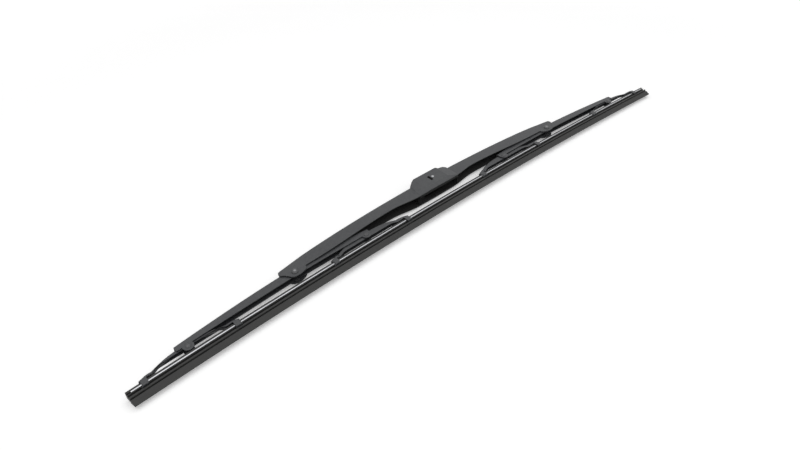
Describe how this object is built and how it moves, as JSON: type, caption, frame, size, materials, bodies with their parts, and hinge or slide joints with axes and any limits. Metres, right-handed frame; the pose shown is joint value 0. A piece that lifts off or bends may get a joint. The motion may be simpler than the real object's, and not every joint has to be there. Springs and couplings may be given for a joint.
{
  "type": "windscreen wiper blade",
  "caption": "Windscreen wiper blade: a riveted linkage of pressed steel levers and yokes spreads the arm's force along a bent rubber wiping element.",
  "frame": {"origin": "middle of the wiping lip, in the middle plane of the blade's width", "axes": "+X along the blade, +Y from the wiping lip to the back of the frame, +Z across the blade's width, up as it lies on its side"},
  "size_m": [0.601, 0.0518, 0.0152],
  "materials": {
    "black_paint": "semi-gloss black powder coat with fine texture",
    "rivet_paint": "semi-gloss black over domed rivet heads",
    "bright_steel": "bright rolled spring steel",
    "black_rubber": "matt graphite coated rubber",
    "black_plastic": "fine grained moulded plastic",
    "bush_plastic": "smooth low friction plastic"
  },
  "bodies": {
    "frame": {"bridge": "black_paint", "cross_pin": "bright_steel", "bridge_rivets": "rivet_paint", "rubber_refill": "black_rubber", "rail_upper": "bright_steel", "rail_lower": "bright_steel"},
    "adapter": {"arm_adapter": "black_plastic"},
    "left_lever": {"lever_left": "black_paint", "lever_bush_left": "bush_plastic", "yoke_rivets_left": "rivet_paint"},
    "left_outer_yoke": {"outer_yoke_left": "black_paint", "outer_yoke_bush_left": "bush_plastic"},
    "left_inner_yoke": {"inner_yoke_left": "black_paint", "inner_yoke_bush_left": "bush_plastic"},
    "right_lever": {"lever_right": "black_paint", "lever_bush_right": "bush_plastic", "yoke_rivets_right": "rivet_paint"},
    "right_outer_yoke": {"outer_yoke_right": "black_paint", "outer_yoke_bush_right": "bush_plastic"},
    "right_inner_yoke": {"inner_yoke_right": "black_paint", "inner_yoke_bush_right": "bush_plastic"}
  },
  "joints": [
    {"name": "adapter_pivot", "type": "hinge", "parent": "frame", "child": "adapter", "pos_m": [0.0066, 0.0354, 0], "axis": [0, 0, 1], "range_deg": [-12, 12]},
    {"name": "left_lever_pivot", "type": "hinge", "parent": "frame", "child": "left_lever", "pos_m": [-0.1551, 0.02123, 0], "axis": [0, 0, 1], "range_deg": [-4, 4], "stiffness_Nm_per_rad": 0.4, "deforming": ["rubber_refill", "rail_upper", "rail_lower"]},
    {"name": "left_outer_yoke_pivot", "type": "hinge", "parent": "left_lever", "child": "left_outer_yoke", "pos_m": [-0.2502, 0.01164, 0], "axis": [0, 0, 1], "range_deg": [-3.5, 3.5], "stiffness_Nm_per_rad": 0.1, "deforming": ["rubber_refill", "rail_upper", "rail_lower"]},
    {"name": "left_inner_yoke_pivot", "type": "hinge", "parent": "left_lever", "child": "left_inner_yoke", "pos_m": [-0.0861, 0.01873, 0], "axis": [0, 0, 1], "range_deg": [-3.2, 3.2], "stiffness_Nm_per_rad": 0.1, "deforming": ["rubber_refill", "rail_upper", "rail_lower"]},
    {"name": "right_lever_pivot", "type": "hinge", "parent": "frame", "child": "right_lever", "pos_m": [0.1551, 0.02123, 0], "axis": [0, 0, 1], "range_deg": [-4, 4], "stiffness_Nm_per_rad": 0.4, "deforming": ["rubber_refill", "rail_upper", "rail_lower"]},
    {"name": "right_outer_yoke_pivot", "type": "hinge", "parent": "right_lever", "child": "right_outer_yoke", "pos_m": [0.2502, 0.01164, 0], "axis": [0, 0, 1], "range_deg": [-3.5, 3.5], "stiffness_Nm_per_rad": 0.1, "deforming": ["rubber_refill", "rail_upper", "rail_lower"]},
    {"name": "right_inner_yoke_pivot", "type": "hinge", "parent": "right_lever", "child": "right_inner_yoke", "pos_m": [0.0861, 0.01873, 0], "axis": [0, 0, 1], "range_deg": [-3.2, 3.2], "stiffness_Nm_per_rad": 0.1, "deforming": ["rubber_refill", "rail_upper", "rail_lower"]}
  ]
}
